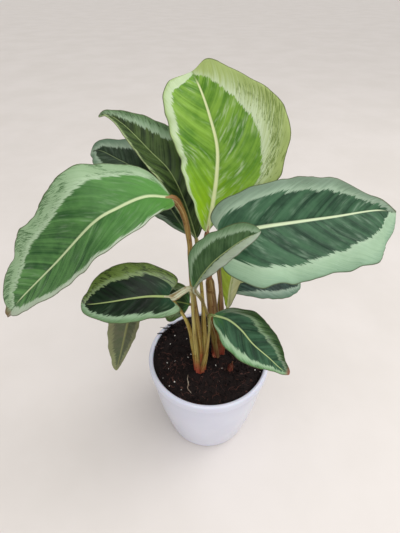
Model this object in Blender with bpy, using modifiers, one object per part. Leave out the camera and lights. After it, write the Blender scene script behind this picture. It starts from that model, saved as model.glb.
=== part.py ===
"""A potted calathea: a white pot, its soil, two crowns, a new shoot, and twelve leaves on their stems.

Metres, +Z up. The origin is the centre of the pot's underside, and +Y is the back of the plant.
The plant's own numbers are in millimetres. A leaf is seen with its upper side towards the reader
and its tip away from the stem, so left and right are the halves of its blade.
"""
import math

import bmesh
import bpy
from mathutils import Matrix, Vector, noise

MM = 0.001
NAME = "potted_calathea"

# Pot and soil
POT_HEIGHT = 110 * MM
RIM_RADIUS = 62.5 * MM
LIP_HEIGHT = 9.5 * MM
LIP_DEPTH = 1.8 * MM
BASE_RADIUS = 44.5 * MM
CORNER = 5 * MM
WALL = 2.8 * MM
FLOOR = 3 * MM
BULGE = 2.2 * MM
TURN_STEPS = 40
SOIL_TOP = 104.2 * MM
SOIL_LUMP = 1.0 * MM
GAP = 0.3 * MM

# Plant
BLADE_THICKNESS = 0.8 * MM
BLADE_END = 1.2
BLADE_ROWS = 14
BLADE_COLUMNS = 6
LOBE_REACH = 0.06
STATIONS = (0.1, 0.3, 0.5, 0.7, 0.9)
STEM_SPACING = 8 * MM
STEM_FOOT = 101.3
STEM_END = 0.9
CROWN_DEPTH = 14 * MM
CROWN_TOP = STEM_FOOT * MM - GAP

# Each crown: its centre, the distance from it to the stems that stand around it, and its radius.
CROWNS = {
    "left": {"centre": (-9, -17), "ring": 3.5, "radius": 5.4},
    "right": {"centre": (9, 6), "ring": 6.6, "radius": 8.4},
}

# The right crown's own sheath rises between its stems.
SHEATH_ROUTE = [(9, 6, 101), (8, 6, 125), (4, 6, 160), (1, 6, 190), (-1, 6, 214)]
SHEATH_RADII = (4.2, 4.4, 4.2, 3.8, 2.8)

SPEAR_ROUTE = [(22, -15, 92), (22, -15, 104), (23, -16, 112), (23.5, -17, 119)]
SPEAR_RADII = (2.6, 2.7, 2.0, 0.6)

# Each leaf, in millimetres and degrees:
#   midrib  points that the midrib runs through, from the stem to the tip
#   faces   which way the blade's upper side looks, from the stem to the tip
#   left    half-widths at the five stations; right is the same
#   fold    how far a half is raised above flat; fold_left is for the left half only
#   lobes   how far the edges run past the blade's base and past its tip
#   stem    the crown that the stem stands on, its bearing around it (None is the middle), its
#           route, and its radius at the foot and at the blade
LEAVES = {
    "arching": {
        "midrib": [(-30, -8, 296), (-46, -20, 303), (-63, -32, 301), (-79, -40, 294),
                   (-107, -46, 267), (-137, -51, 239), (-149, -53, 226)],
        "faces": [(-0.1, -0.4, 1), (-0.3, -0.6, 0.75), (-0.4, -0.6, 0.6)],
        "left": (18, 29, 29, 23, 12),
        "right": (25, 38, 35, 31, 17),
        "fold": (10, 20, 20),
        "lobes": (2, 2),
        "wave": (0.8, 3),
        "stem": ("left", None, [(-9, -17, 130), (-12, -16, 170), (-16, -12, 222), (-17, -8, 254),
                                (-21, -6, 280)], (2.0, 1.8)),
    },
    "upright": {
        "midrib": [(-3, 8, 256), (1, 17, 276), (4, 25, 298), (4, 32, 318), (-2, 39, 339),
                   (-9, 46, 356), (-16, 54, 367)],
        "faces": [(-0.1, -1, 0.4)],
        "left": (13, 25, 31, 32, 26),
        "right": (9, 39, 53, 49, 22),
        "fold": (14, 8, 4),
        "fold_left": (40, 24, 16),
        "lobes": (0, 5),
        "wave": (0.8, 4),
        "stem": ("sheath", None, [(-3, 7, 235)], (2.4, 1.6)),
    },
    "right": {
        "midrib": [(7, -10, 263), (33, -11, 272), (62, -9, 276), (92, -6, 279), (123, -2, 282),
                   (139, -2, 280)],
        "faces": [(-0.1, -0.8, 0.65)],
        "left": (24, 32, 32, 26, 7),
        "right": (34, 44, 42, 40, 31),
        "fold": (5,),
        "lobes": (10, 3),
        "wave": (1.0, 4),
        "stem": ("right", -30, [(14, 3, 135), (12, 2.5, 160), (9.5, 1.5, 200), (5, -4, 238),
                                (3, -9, 254)], (1.6, 1.6)),
    },
    "pointed": {
        "midrib": [(-12, 14, 246), (-22, 22, 278), (-33, 30, 299), (-48, 38, 312), (-67, 48, 328),
                   (-81, 54, 335), (-89, 56, 333)],
        "faces": [(0.3, -0.7, 0.7)],
        "left": (8, 17, 20, 14, 5),
        "right": (10, 22, 28, 20, 6),
        "fold": (20,),
        "fold_left": (36,),
        "stem": ("left", 0, [(-5, -14, 130), (-6, -4, 180), (-10, 8, 225)], (1.6, 1.4)),
    },
    "rolled": {
        "midrib": [(-14, -26, 225), (-8, -30, 241), (0, -34, 257), (10, -38, 271), (20, -42, 283),
                   (30, -46, 292)],
        "faces": [(-0.8, -0.45, 0.4)],
        "left": (8, 17, 18, 15, 10),
        "right": (4, 10, 15, 14, 9),
        "fold": (33,),
        "stem": ("right", -90, [(6, -3, 130), (1, -10, 165), (-7, -20, 205)], (1.5, 1.2)),
    },
    "oval": {
        "midrib": [(-34, -25, 215), (-49, -30, 220), (-65, -35, 222), (-77, -38, 222),
                   (-93, -41, 222), (-100, -42, 224)],
        "faces": [(-0.1, -0.5, 0.9)],
        "left": (15, 19, 20, 18, 11),
        "right": (20, 28, 29, 26, 15),
        "fold": (8,),
        "lobes": (12, 0),
        "stem": ("left", 240, [(-13, -21, 150), (-15, -22, 190), (-15.5, -21, 213), (-18.5, -22, 221)],
                 (1.5, 1.2)),
    },
    "front": {
        "midrib": [(3, -22, 190), (15, -26, 189), (26, -32, 183), (37, -38, 171), (51, -44, 160),
                   (61, -49, 152), (69, -52, 148)],
        "faces": [(0.1, -0.5, 0.9), (0.4, -0.5, 0.7), (0.6, -0.5, 0.6)],
        "left": (8, 20, 23, 19, 9),
        "right": (15, 22, 20, 13, 5),
        "fold": (6,),
        "stem": ("left", 300, [(-4, -21, 130), (-1, -21, 165), (-1, -21, 184)], (1.5, 1.1)),
    },
    "low": {
        "midrib": [(17, 28, 178), (41, 34, 182), (67, 40, 177), (90, 45, 167), (97, 46, 163)],
        "faces": [(0, -0.5, 0.9)],
        "left": (11, 19, 21, 19, 11),
        "right": (11, 19, 21, 19, 11),
        "fold": (5,),
        "stem": ("right", 90, [(9, 20, 140), (11, 26, 170)], (1.5, 1.2)),
    },
    "lime": {
        "midrib": [(18, 10, 167), (19, 14, 187), (22, 20, 206), (26, 28, 223), (28, 36, 242)],
        "faces": [(0, -1, 0.2)],
        "left": (4, 8, 12, 14, 10),
        "right": (4, 8, 12, 14, 10),
        "fold": (5,),
        "stem": ("right", 30, [(17, 9.5, 140)], (1.6, 1.3)),
    },
    "hanging": {
        "midrib": [(-61, -6, 212), (-70, -2, 189), (-80, 0, 154), (-90, -2, 118), (-99, -4, 87)],
        "faces": [(-0.3, 1, 0.2)],
        "left": (9, 16, 17, 14, 7),
        "right": (8, 14, 15, 12, 6),
        "fold": (20,),
        "stem": ("left", 180, [(-15, -14, 135), (-20, -10, 165), (-32, -8, 192), (-48, -7, 210),
                               (-58, -7, 216)], (1.5, 1.1)),
    },
    "shaded": {
        "midrib": [(-19, 2, 180), (-30, 6, 179), (-42, 9, 174), (-51, 10, 168)],
        "faces": [(-0.1, -0.6, 0.8)],
        "left": (12, 17, 18, 16, 9),
        "right": (12, 17, 18, 16, 9),
        "fold": (5,),
        "stem": ("left", 120, [(-13, -9, 135), (-15, -2, 160), (-16, 1, 177)], (1.5, 1.1)),
    },
    "back": {
        "midrib": [(-20, 14, 251), (-39, 34, 271), (-60, 48, 290), (-82, 60, 298), (-96, 68, 301),
                   (-105, 72, 298)],
        "faces": [(0, -0.6, 0.8)],
        "left": (8, 19, 24, 24, 13),
        "right": (8, 20, 25, 22, 11),
        "fold": (10,),
        "stem": ("left", 60, [(-8, -10, 130), (-13, 0, 180), (-18, 9, 225)], (1.5, 1.3)),
    },
}

# Colour, roughness and metallic value of each kind of piece
FINISHES = {
    "pot": ((0.86, 0.86, 0.88), 0.12, 0.0),
    "soil": ((0.03, 0.02, 0.015), 0.95, 0.0),
    "crown": ((0.42, 0.16, 0.11), 0.5, 0.0),
    "stem": ((0.33, 0.2, 0.09), 0.45, 0.0),
    "leaf": ((0.06, 0.2, 0.07), 0.35, 0.0),
}


def clear_scene():
    for thing in list(bpy.data.objects):
        bpy.data.objects.remove(thing, do_unlink=True)


def new_collection(name):
    collection = bpy.data.collections.new(name)
    bpy.context.scene.collection.children.link(collection)
    return collection


def new_object(name, data, collection):
    thing = bpy.data.objects.new(name, data)
    collection.objects.link(thing)
    return thing


def finish(thing, kind):
    """Give a piece a material of its own in its kind's finish."""
    colour, roughness, metallic = FINISHES[kind]
    material = bpy.data.materials.new(thing.name)
    material.use_nodes = True
    shader = material.node_tree.nodes["Principled BSDF"]
    shader.inputs["Base Color"].default_value = (*colour, 1)
    shader.inputs["Roughness"].default_value = roughness
    shader.inputs["Metallic"].default_value = metallic
    thing.data.materials.append(material)


def smooth_through(points, t):
    """The place at t (0 to 1 over all the points) on a smooth curve through the points."""
    points = [Vector(p) for p in points]
    points = [2 * points[0] - points[1], *points, 2 * points[-1] - points[-2]]
    spans = len(points) - 3
    place = min(max(t, 0), 1) * spans
    i = min(int(place), spans - 1)
    f = place - i
    a, b, c, d = points[i:i + 4]
    return 0.5 * (2 * b + (c - a) * f + (2 * a - 5 * b + 4 * c - d) * f**2
                  + (3 * b - a - 3 * c + d) * f**3)


def even_steps(points, count, fine=40):
    """Points at even distances along the smooth curve through the given ones."""
    total = fine * (len(points) - 1)
    trail = [smooth_through(points, i / total) for i in range(total + 1)]
    run = [0.0]
    for a, b in zip(trail, trail[1:]):
        run.append(run[-1] + (b - a).length)
    steps = []
    i = 0
    for k in range(count):
        goal = run[-1] * k / (count - 1)
        while i < total - 1 and run[i + 1] < goal:
            i += 1
        steps.append(trail[i].lerp(trail[i + 1], (goal - run[i]) / (run[i + 1] - run[i])))
    return steps


def between(values, u):
    """Values spread evenly from the stem to the tip, read at u with soft steps."""
    if len(values) == 1:
        return values[0]
    place = u * (len(values) - 1)
    i = min(int(place), len(values) - 2)
    f = place - i
    f = f * f * (3 - 2 * f)
    return values[i] * (1 - f) + values[i + 1] * f


def half_width(widths, u):
    """Half-width at u, with round ends, through the half-widths at the stations."""
    full = [w / math.sqrt(4 * s * (1 - s)) for w, s in zip(widths, STATIONS)]
    spread = len(STATIONS) - 1
    place = (u - STATIONS[0]) / (STATIONS[-1] - STATIONS[0])
    inner = smooth_through([(w, 0, 0) for w in full], place).x
    beyond = place - min(max(place, 0), 1)
    slope = spread * ((full[-1] - full[-2]) if place > 1 else (full[1] - full[0]))
    return max(inner + beyond * slope, 0) * math.sqrt(max(4 * u * (1 - u), 0))


def lobe(u):
    """How much of a lobe's reach the edge has at a distance u from the blade's end."""
    return u / LOBE_REACH * math.exp(1 - u / LOBE_REACH)


def blade_point(leaf, midrib, u, v):
    """A point of the blade's upper side in millimetres; v is -1 at the left edge, 1 at the right."""
    row = min(u * (len(midrib) - 1), len(midrib) - 1.001)
    i = int(row)
    place = midrib[i].lerp(midrib[i + 1], row - i)
    along = (midrib[i + 1] - midrib[i]).normalized()
    up = between([Vector(f).normalized() for f in leaf["faces"]], u)
    up = (up - along * up.dot(along)).normalized()
    across = along.cross(up)
    side = "left" if v < 0 else "right"
    fold = math.radians(between(leaf.get("fold_left", leaf["fold"]) if v < 0 else leaf["fold"], u))
    reach = abs(v) * (half_width(leaf[side], u) + BLADE_END)
    back, ahead = leaf.get("lobes", (0, 0))
    shift = v * v * (ahead * lobe(1 - u) - back * lobe(u))
    height, waves = leaf.get("wave", (0, 0))
    ripple = height * v * v * math.sin(2 * math.pi * waves * u + (1.3 if v > 0 else 0)) * 4 * u * (1 - u)
    return (place + across * math.copysign(reach * math.cos(fold), v)
            + up * (reach * math.sin(fold) + ripple) + along * shift)


def make_blade(name, leaf, collection):
    """A blade: a grid laid over the leaf's surface and given its thickness."""
    mesh = bpy.data.meshes.new(name)
    bm = bmesh.new()
    bmesh.ops.create_grid(bm, x_segments=BLADE_COLUMNS, y_segments=BLADE_ROWS, size=1)
    midrib = even_steps(leaf["midrib"], 61)
    for vert in bm.verts:
        u = 0.5 * (1 + math.sin(0.5 * math.pi * vert.co.y))
        vert.co = blade_point(leaf, midrib, u, vert.co.x) * MM
    bm.to_mesh(mesh)
    bm.free()
    blade = new_object(name, mesh, collection)
    solid = blade.modifiers.new("thickness", "SOLIDIFY")
    solid.thickness = BLADE_THICKNESS
    solid.offset = -1
    solid.use_even_offset = True
    mesh.shade_smooth()
    finish(blade, "leaf")
    return blade


def make_tube(name, route, radii, spacing, collection, kind):
    """A tapered round stem along a smooth route; route and radii are in millimetres."""
    length = sum((Vector(b) - Vector(a)).length for a, b in zip(route, route[1:])) * MM
    count = max(5, round(length / spacing) + 1)
    curve = bpy.data.curves.new(name, "CURVE")
    curve.dimensions = "3D"
    curve.bevel_depth = MM
    curve.bevel_resolution = 2
    curve.use_fill_caps = True
    spline = curve.splines.new("POLY")
    spline.points.add(count - 1)
    for k, place in enumerate(even_steps(route, count)):
        spline.points[k].co = (*(place * MM), 1)
        spline.points[k].radius = between(radii, k / (count - 1))
    tube = new_object(name, curve, collection)
    finish(tube, kind)
    return tube


def stem_foot(crown, bearing):
    """Where a stem stands on its crown."""
    if crown == "sheath":
        return Vector(SHEATH_ROUTE[-1]) + Vector((0, 0, GAP / MM))
    x, y = CROWNS[crown]["centre"]
    ring = 0 if bearing is None else CROWNS[crown]["ring"]
    turn = math.radians(bearing or 0)
    return Vector((x + ring * math.cos(turn), y + ring * math.sin(turn), STEM_FOOT))


def make_stem(name, leaf, collection):
    """The stem from its crown to just short of the blade, which it meets square on."""
    crown, bearing, route, radii = leaf["stem"]
    foot = stem_foot(crown, bearing)
    base = Vector(leaf["midrib"][0])
    onward = (even_steps(leaf["midrib"], 61)[1] - base).normalized()
    points = [foot, foot + Vector((0, 0, 6)), *route, base - onward * 4, base - onward * STEM_END]
    return make_tube(name, points, radii, STEM_SPACING, collection, "stem")


def turned(name, profile, collection):
    """A round piece: a profile of (radius, height) pairs turned about the Z axis."""
    mesh = bpy.data.meshes.new(name)
    edges = [(i, i + 1) for i in range(len(profile) - 1)]
    mesh.from_pydata([(r, 0, z) for r, z in profile], edges, [])
    thing = new_object(name, mesh, collection)
    screw = thing.modifiers.new("turn", "SCREW")
    screw.steps = TURN_STEPS
    screw.render_steps = TURN_STEPS
    screw.use_merge_vertices = True
    screw.merge_threshold = 0.00001
    return thing


def arc(centre, radius, start, end, count):
    """Points of an arc in the profile's plane, angles in degrees."""
    points = []
    for k in range(count + 1):
        angle = math.radians(start + (end - start) * k / count)
        points.append((centre[0] + radius * math.cos(angle), centre[1] + radius * math.sin(angle)))
    return points


def wall_radius(z):
    """Outer radius of the pot's wall under the lip, a cone that swells a little."""
    top = POT_HEIGHT - LIP_HEIGHT
    f = min(z / top, 1)
    return BASE_RADIUS + (RIM_RADIUS - LIP_DEPTH - BASE_RADIUS) * f + BULGE * math.sin(math.pi * f)


def inner_radius(z):
    return wall_radius(z) - WALL


def make_pot(collection):
    """The pot: a swelling cone with a rolled lip, a round bottom corner and a flat base."""
    shoulder = POT_HEIGHT - LIP_HEIGHT
    heights = [shoulder * k / 6 for k in range(1, 7)]
    rim = (LIP_DEPTH + WALL) / 2
    edge = LIP_DEPTH / 2
    profile = [(0, FLOOR), (inner_radius(FLOOR) - CORNER, FLOOR)]
    profile += arc((inner_radius(CORNER + FLOOR) - CORNER, FLOOR + CORNER), CORNER, -70, 0, 3)
    profile += [(inner_radius(z), z) for z in heights]
    profile += arc((RIM_RADIUS - rim, POT_HEIGHT - rim), rim, 180, 0, 6)
    profile += arc((RIM_RADIUS - edge, shoulder + edge), edge, 0, -90, 2)
    profile += [(wall_radius(z), z) for z in reversed(heights)]
    profile += arc((wall_radius(CORNER) - CORNER, CORNER), CORNER, 0, -90, 4)
    profile += [(0, 0)]
    pot = turned("pot", profile, collection)
    finish(pot, "pot")
    return pot


def make_soil(collection, cutters):
    """The soil: it fills the pot, has a lumpy top, and has a socket for each crown and the spear."""
    wall = [(inner_radius(z) - GAP, z) for z in (SOIL_TOP * k / 4 for k in range(1, 5))]
    floor = FLOOR + GAP
    bottom = [(inner_radius(CORNER + floor) - CORNER - GAP, floor)]
    rings = [wall[-1][0] * k / 7 for k in range(7)]
    profile = [(r, SOIL_TOP) for r in rings] + list(reversed(wall)) + bottom + [(0, floor)]
    blank = turned("soil_blank", profile, collection)
    depsgraph = bpy.context.evaluated_depsgraph_get()
    mesh = bpy.data.meshes.new_from_object(blank.evaluated_get(depsgraph))
    bpy.data.objects.remove(blank, do_unlink=True)
    for vert in mesh.vertices:
        if vert.co.z > SOIL_TOP - GAP:
            vert.co.z += SOIL_LUMP * noise.noise(vert.co / (9 * MM))
    soil = new_object("soil", mesh, collection)
    sockets = [(*crown["centre"], crown["radius"]) for crown in CROWNS.values()]
    sockets.append((*SPEAR_ROUTE[0][:2], max(SPEAR_RADII) + 0.3))
    for k, (x, y, radius) in enumerate(sockets):
        cutter = make_post(f"socket_{k}", x * MM, y * MM, radius * MM + GAP,
                           CROWN_TOP - CROWN_DEPTH - GAP, POT_HEIGHT, cutters)
        cutter.hide_render = True
        cutter.display_type = "WIRE"
        cut = soil.modifiers.new("socket", "BOOLEAN")
        cut.operation = "DIFFERENCE"
        cut.solver = "EXACT"
        cut.object = cutter
    finish(soil, "soil")
    return soil


def make_post(name, x, y, radius, low, high, collection):
    """A plain upright cylinder from one height to another."""
    mesh = bpy.data.meshes.new(name)
    bm = bmesh.new()
    bmesh.ops.create_cone(bm, cap_ends=True, segments=20, radius1=radius, radius2=radius,
                          depth=high - low)
    bm.to_mesh(mesh)
    bm.free()
    post = new_object(name, mesh, collection)
    post.matrix_world = Matrix.Translation((x, y, (low + high) / 2))
    return post


def make_crowns(collection):
    """The swollen feet that the stems grow from, the right crown's sheath, and the new shoot."""
    for side, crown in CROWNS.items():
        x, y = crown["centre"]
        post = make_post(f"crown_{side}", x * MM, y * MM, crown["radius"] * MM,
                         CROWN_TOP - CROWN_DEPTH, CROWN_TOP, collection)
        finish(post, "crown")
    make_tube("sheath_right", [(x, y, max(z, STEM_FOOT)) for x, y, z in SHEATH_ROUTE],
              SHEATH_RADII, STEM_SPACING, collection, "stem")
    make_tube("new_shoot", SPEAR_ROUTE, SPEAR_RADII, STEM_SPACING / 2, collection, "crown")


def main():
    clear_scene()
    parts = new_collection(NAME)
    cutters = new_collection("cutters")
    make_pot(parts)
    make_soil(parts, cutters)
    make_crowns(parts)
    for name, leaf in LEAVES.items():
        make_stem(f"stem_{name}", leaf, parts)
        make_blade(f"leaf_{name}", leaf, parts)


main()
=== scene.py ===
"""The looks of the potted calathea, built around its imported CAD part.

The frame is in metres, with +Z up, the origin under the pot and +Y at the back of the plant. The
plant's own numbers are in millimetres. A leaf is seen with its upper side towards the reader and
its tip away from the stem, so left and right are the halves of its blade. Colours are sRGB, 0 to 255.
"""
import random
from functools import lru_cache
from math import atan2, copysign, cos, exp, hypot, pi, radians, sin, sqrt
from types import SimpleNamespace

import bmesh
import bpy
from mathutils import Euler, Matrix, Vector, noise


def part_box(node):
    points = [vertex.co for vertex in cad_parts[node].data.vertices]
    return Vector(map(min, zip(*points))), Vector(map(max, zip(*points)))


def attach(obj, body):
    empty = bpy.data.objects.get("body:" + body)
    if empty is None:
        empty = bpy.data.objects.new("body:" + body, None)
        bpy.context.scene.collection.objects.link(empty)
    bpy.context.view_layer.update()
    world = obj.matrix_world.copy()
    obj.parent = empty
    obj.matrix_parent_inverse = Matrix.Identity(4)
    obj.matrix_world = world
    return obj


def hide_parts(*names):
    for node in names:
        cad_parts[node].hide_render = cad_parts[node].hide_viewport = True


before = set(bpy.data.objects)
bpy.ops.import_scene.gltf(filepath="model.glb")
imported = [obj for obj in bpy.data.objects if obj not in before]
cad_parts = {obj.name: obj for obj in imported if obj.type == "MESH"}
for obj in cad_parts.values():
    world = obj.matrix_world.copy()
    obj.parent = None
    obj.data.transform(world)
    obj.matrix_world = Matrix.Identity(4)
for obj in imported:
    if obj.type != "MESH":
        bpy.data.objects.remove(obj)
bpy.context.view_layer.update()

MM = 0.001
SEED = 7

# Camera and stage
CAMERA_AT = (-0.009, -0.2456, 0.4225)
CAMERA_PITCH = 38.6
CAMERA_LENS = 24.99
FLOOR_RADIUS = 14.0
FLOOR_TONES = ((217, 211, 206), (223, 217, 213))

# Light: the sun is wide, so that it stands for an even bright ceiling. A lamp has its place, its
# power in watts and its colour.
SUN_STRENGTH = 1.8
SUN_WIDTH = radians(70)
SUN_FROM = (0.3, -0.25, 1)
SUN_COLOUR = (1.0, 0.99, 0.975)
LAMPS = {
    "window": ((1.1, 0.35, 1.3), 6, (1.0, 0.99, 0.98)),
    "front": ((-0.3, -1.4, 0.9), 4.0, (0.97, 0.985, 1.0)),
}
LAMP_SIZE = 0.9
LAMP_TARGET = (0, 0, 0.2)
SKY_COLOUR = (0.98, 0.96, 0.94, 1)
SKY_STRENGTH = 0.45

# Pot and soil, as in the CAD part
RIM_RADIUS = 62.5 * MM
LIP_HEIGHT = 9.5 * MM
LIP_DEPTH = 1.8 * MM
BASE_RADIUS = 44.5 * MM
CORNER = 5 * MM
WALL = 2.8 * MM
FLOOR = 3 * MM
BULGE = 2.2 * MM
SOIL_TOP = 104.2 * MM

# Their fine surface
POT_STEPS = 144
LIP_BLEND = 2.5 * MM
FOOT_RING = 0.6 * MM
SOIL_STEPS = 240
SOIL_RINGS = 96
SOIL_GAP = 0.3 * MM
SOIL_BANK = 3.6 * MM
SOIL_BANK_AT = radians(140)
# Each has its height in millimetres, its width in metres and its layer of noise
SOIL_LUMPS = ((2.2, 0.03, 1.7), (1.6, 0.009, 4.1))
SOIL_GRAINS = ((1.0, 0.004, 8.3), (0.5, 0.0018, 2.3))

# What lies on the soil, by the soil's material slots. The three radii of a lump are its size and
# two shares of it. It stands up by a share of its size and so many millimetres, it leans by an
# angle in radians and keeps a gap from the crowns, and first is the seed of the first one.
EARTH, BARK, PERLITE, FIBRE, ROOT = range(5)
LITTER = (
    dict(count=900, size=(0.5, 1.7), wide=(0.6, 1), high=(0.5, 0.9), rise=(0.2, 0), rough=0.5,
         first=0, material=EARTH),
    dict(count=70, size=(1.0, 2.6), wide=(0.3, 0.6), high=(0.15, 0.3), rise=(0, 0.3), rough=0.4,
         first=900, material=BARK, lean=(-0.5, 0.5)),
    dict(count=34, size=(0.3, 0.85), wide=(0.7, 1), high=(0.6, 0.9), rise=(0.5, 0), rough=0.6,
         first=1900, material=PERLITE, gap=2 * MM),
)
LITTER_REACH = 0.056
FIBRES = 190
FIBRE_REACH = 0.054
FIBRE_LIMIT = 0.0568
RIM_FIBRES = 7
RIM_FIBRE_BEARING = (128, 150)
RIM_FIBRE_REACH = (56, 65)
BANK_LUMPS = 60
FULL_TURN = 6.3

# Plant, as in the CAD part
STATIONS = (0.1, 0.3, 0.5, 0.7, 0.9)
LOBE_REACH = 0.06
STEM_FOOT = 101.3
FOOT_RISE = 6
JOINT_BACK = 11
SHEATH_ROUTE = [(9, 6, 101), (8, 6, 125), (4, 6, 160), (1, 6, 190), (-1, 6, 214)]
SPEAR_ROUTE = [(22, -15, 92), (22, -15, 104), (23, -16, 112), (23.5, -17, 119)]

# The crowns: where they stand, and the ring that their stems stand on. Each scale has its bearing,
# its height and half of the angle that it takes in. The colours run as in STEM_LOOKS.
CROWNS = {
    "left": {"centre": (-9, -17), "ring": 3.5, "radius": 5.4,
             "scales": ((270, 15, 60), (20, 11, 60), (140, 13, 70)),
             "colours": ((160, 70, 58), (176, 90, 72), (176, 116, 86), (180, 140, 96))},
    "right": {"centre": (9, 6), "ring": 6.6, "radius": 8.4,
              "scales": ((250, 17, 40), (330, 14, 46), (90, 16, 60), (180, 12, 50)),
              "colours": ((160, 64, 52), (184, 88, 70), (180, 110, 82), (206, 180, 146))},
}
SCALE_ROWS = 14
SCALE_COLUMNS = 12
SCALE_THICKNESS = 0.55

# Every second line of points along a stem counts as this much nearer its middle, so that the
# streaks on it waver
STREAK_WAVER = 0.98

# The blade's fine surface, and what each of its points says: see make_blade
BLADE_EDGE = 0.35
BLADE_THICKNESS = 0.45
BLADE_COLUMNS = 52
BLADE_ROWS = (56, 116)
COLUMN_CROWD = 1.35
VEIN_LEAN = 1.0
VEIN_CURVE = 0.5
VEIN_PERIOD = 1.5
FOLD_PERIOD = 8.5
FOLD_HEIGHT = 0.4
BLADE_SAYS = ("vein", "rib", "centre", "edge", "along", "side")

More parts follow.
